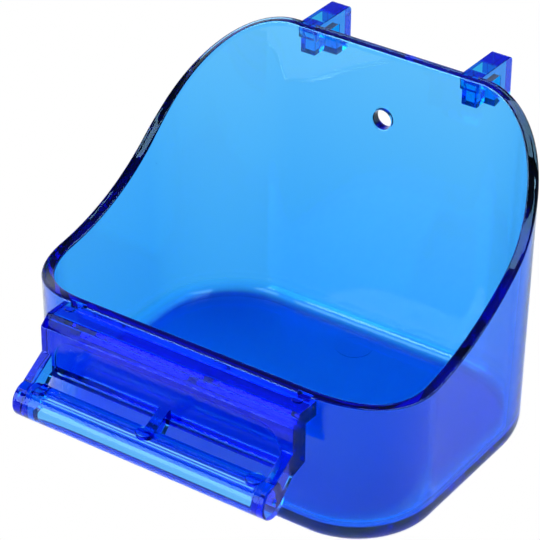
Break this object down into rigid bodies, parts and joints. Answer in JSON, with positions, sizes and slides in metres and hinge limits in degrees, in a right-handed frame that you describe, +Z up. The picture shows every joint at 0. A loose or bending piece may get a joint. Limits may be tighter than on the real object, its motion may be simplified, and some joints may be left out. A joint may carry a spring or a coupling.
{
  "type": "cage bird bath",
  "caption": "Clear blue open-fronted bath that hangs inside a bird cage by push-in wire hooks, with a push-in perch along its low front rim.",
  "frame": {"origin": "under the middle of the whole object's box, on the plane of the tub's base", "axes": "+X to the right as seen from the perch side, +Y to the back where the cage wires are, +Z up"},
  "size_m": [0.13, 0.1416, 0.0983],
  "materials": {
    "tub_plastic": "clear blue polystyrene, moulded and polished",
    "perch_plastic": "clear blue polystyrene, moulded, darker where it is thick",
    "hook_plastic": "clear blue polystyrene, moulded, darker where it is thick"
  },
  "bodies": {
    "tub": {"tub": "tub_plastic"},
    "perch": {"perch": "perch_plastic"},
    "hook_left": {"hook_left": "hook_plastic"},
    "hook_right": {"hook_right": "hook_plastic"}
  },
  "joints": [
    {"name": "perch_lift", "type": "slide", "parent": "tub", "child": "perch", "axis": [0, 0, 1], "range_m": [0, 0.03]},
    {"name": "hook_left_pull", "type": "slide", "parent": "tub", "child": "hook_left", "axis": [0, 0, 1], "range_m": [0, 0.02]},
    {"name": "hook_right_pull", "type": "slide", "parent": "tub", "child": "hook_right", "axis": [0, 0, 1], "range_m": [0, 0.02]}
  ]
}
